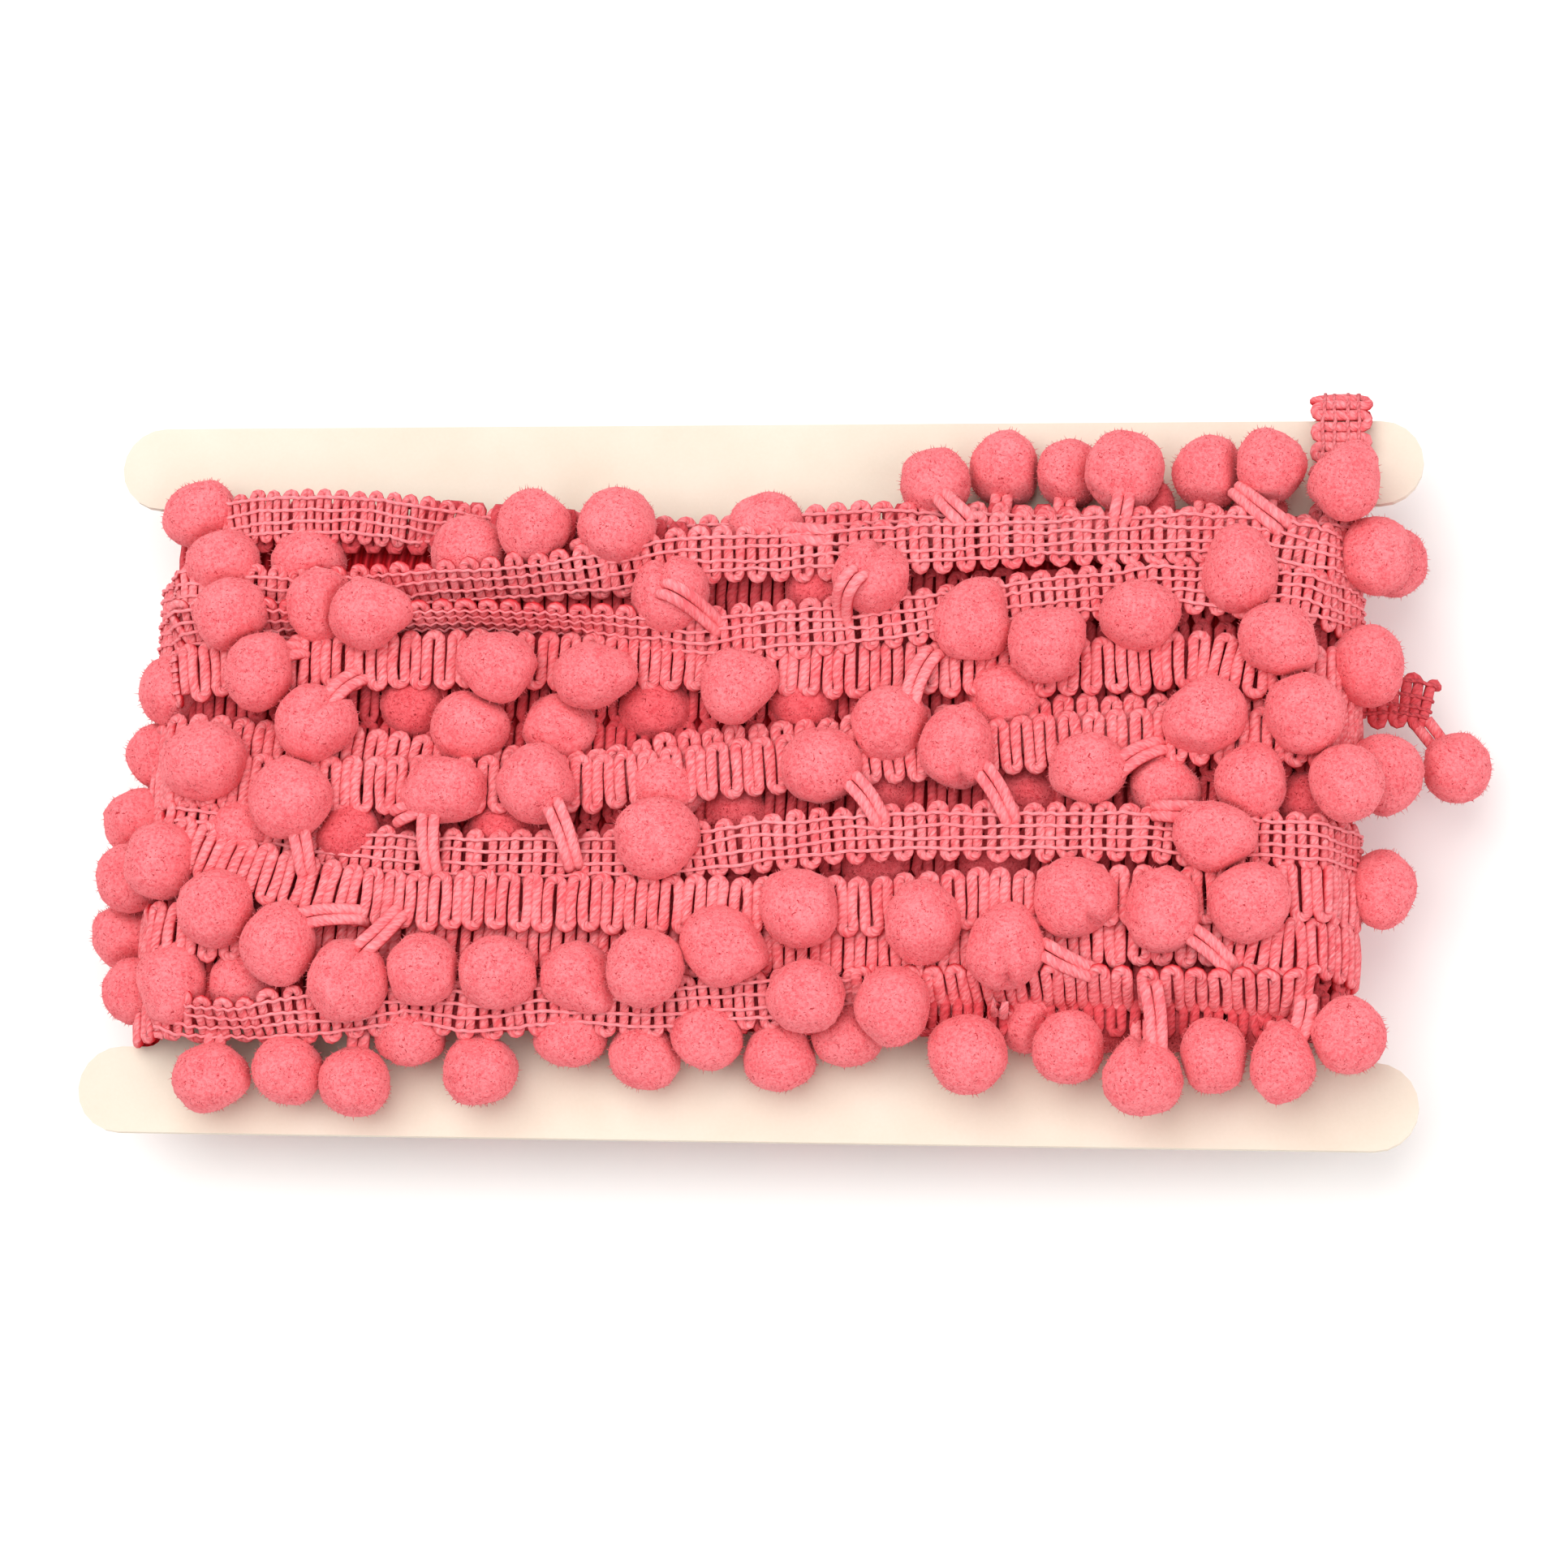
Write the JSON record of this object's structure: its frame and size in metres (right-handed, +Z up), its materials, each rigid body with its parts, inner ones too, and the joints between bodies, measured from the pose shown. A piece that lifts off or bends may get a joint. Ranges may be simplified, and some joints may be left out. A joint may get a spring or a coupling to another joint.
{
  "type": "pompom fringe trim wound on a card",
  "caption": "Zigzag yarn braid with round pompoms on long loops, wound in flat turns round the waist of a plain I-shaped card.",
  "frame": {"origin": "the flat foot of the middle pompom at the back, under the card's centre, on the surface the object lies on", "axes": "+X along the turns to the right of the picture, +Y to the card's top edge, +Z up out of the card's front face"},
  "size_m": [0.2331, 0.127, 0.044],
  "materials": {
    "cream_board": "matt, uncoated",
    "coral_yarn": "soft matt yarn with felted pompoms"
  },
  "bodies": {
    "root": {"card": "cream_board", "wound_trim": "coral_yarn", "tail_top": "coral_yarn", "tail_side": "coral_yarn"}
  },
  "joints": []
}
